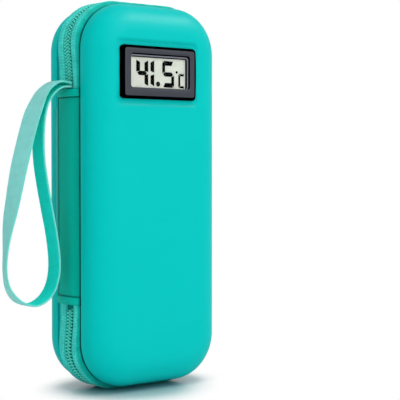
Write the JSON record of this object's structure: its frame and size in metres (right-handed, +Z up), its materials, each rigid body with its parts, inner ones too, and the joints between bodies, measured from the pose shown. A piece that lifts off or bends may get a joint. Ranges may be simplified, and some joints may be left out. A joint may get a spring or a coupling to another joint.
{
  "type": "insulin cooling case",
  "caption": "Zip-round hard-shell case that keeps insulin pens cool, with foam and foil lining, gel packs, a front thermometer and a wrist strap.",
  "frame": {"origin": "middle of the flat crest of the zip tape under the back half, where the case stands on its short end", "axes": "+Z up along the case's height, +Y out of the back face, -Y out of the front face with the thermometer, -X to the spine and strap"},
  "size_m": [0.1314, 0.054, 0.2078],
  "materials": {
    "shell": "smooth satin moulded shell",
    "foam": "closed-cell foam",
    "foil": "crinkled foil film",
    "binding": "woven binding",
    "zip_tape": "woven zip tape",
    "zip_teeth": "moulded nylon teeth",
    "gel_pack": "satin blue film over gel",
    "lining": "dark woven lining",
    "elastic": "ribbed elastic",
    "net": "fine net",
    "spine_leather": "smooth coated leather",
    "webbing": "ribbed webbing",
    "bezel": "satin moulded",
    "window": "clear",
    "display_glass": "grey liquid crystal",
    "circuit_board": "solder mask",
    "housing": "satin moulded",
    "steel": "brushed",
    "slider_metal": "painted",
    "pull_rubber": "soft moulded"
  },
  "bodies": {
    "back_half": {"back_shell": "shell", "back_foam": "foam", "back_foil": "foil", "back_binding": "binding", "back_zip_tape": "zip_tape", "back_zip_teeth": "zip_teeth", "pocket_panel": "lining", "pen_band_lower": "elastic", "pen_band_upper": "elastic"},
    "spine": {"spine_panel": "spine_leather", "spine_lining": "lining", "spine_hem_upper": "spine_leather", "spine_hem_lower": "spine_leather"},
    "front_half": {"front_shell": "shell", "front_foam": "foam", "front_foil": "foil", "front_binding": "binding", "front_zip_tape": "zip_tape", "front_zip_teeth": "zip_teeth", "net_pocket": "net", "net_hem": "elastic", "front_gel_pack": "gel_pack", "display_bezel": "bezel", "display_window": "window", "display_panel": "display_glass", "display_board": "circuit_board", "display_housing": "housing", "battery_left": "steel", "battery_right": "steel", "clip_left": "housing", "clip_right": "housing", "sensor_tip": "steel"},
    "strap": {"wrist_strap": "webbing"},
    "back_pack": {"back_gel_pack": "gel_pack"},
    "door": {"battery_door": "housing"},
    "upper_slider": {"upper_slider": "slider_metal"},
    "upper_pull": {"upper_pull": "pull_rubber"},
    "lower_slider": {"lower_slider": "slider_metal"},
    "lower_pull": {"lower_pull": "pull_rubber"}
  },
  "joints": [
    {"name": "spine_back_hinge", "type": "hinge", "parent": "back_half", "child": "spine", "pos_m": [-0.042, 0.0046, 0.1034], "axis": [0, 0, -1], "range_deg": [0, 90]},
    {"name": "spine_front_hinge", "type": "hinge", "parent": "spine", "child": "front_half", "pos_m": [-0.042, -0.0174, 0.1034], "axis": [0, 0, -1], "range_deg": [0, 90]},
    {"name": "strap_swing", "type": "hinge", "parent": "spine", "child": "strap", "pos_m": [-0.0436, -0.0064, 0.162], "axis": [0, 1, 0], "range_deg": [0, 60]},
    {"name": "back_pack_slide", "type": "slide", "parent": "back_half", "child": "back_pack", "axis": [0, 0, 1], "range_m": [0, 0.045]},
    {"name": "upper_slider_slide", "type": "slide", "parent": "back_half", "child": "upper_slider", "axis": [0, 0, 1], "range_m": [0, 0.06]},
    {"name": "upper_pull_hinge", "type": "hinge", "parent": "upper_slider", "child": "upper_pull", "pos_m": [0.0448, -0.0064, 0.10955], "axis": [0, 1, 0], "range_deg": [0, 160]},
    {"name": "lower_slider_slide", "type": "slide", "parent": "back_half", "child": "lower_slider", "axis": [0, 0, -1], "range_m": [0, 0.06]},
    {"name": "lower_pull_hinge", "type": "hinge", "parent": "lower_slider", "child": "lower_pull", "pos_m": [0.0448, -0.0064, 0.09825], "axis": [0, -1, 0], "range_deg": [0, 120]},
    {"name": "battery_door_slide", "type": "slide", "parent": "front_half", "child": "door", "axis": [1, 0, 0], "range_m": [0, 0.01]}
  ]
}
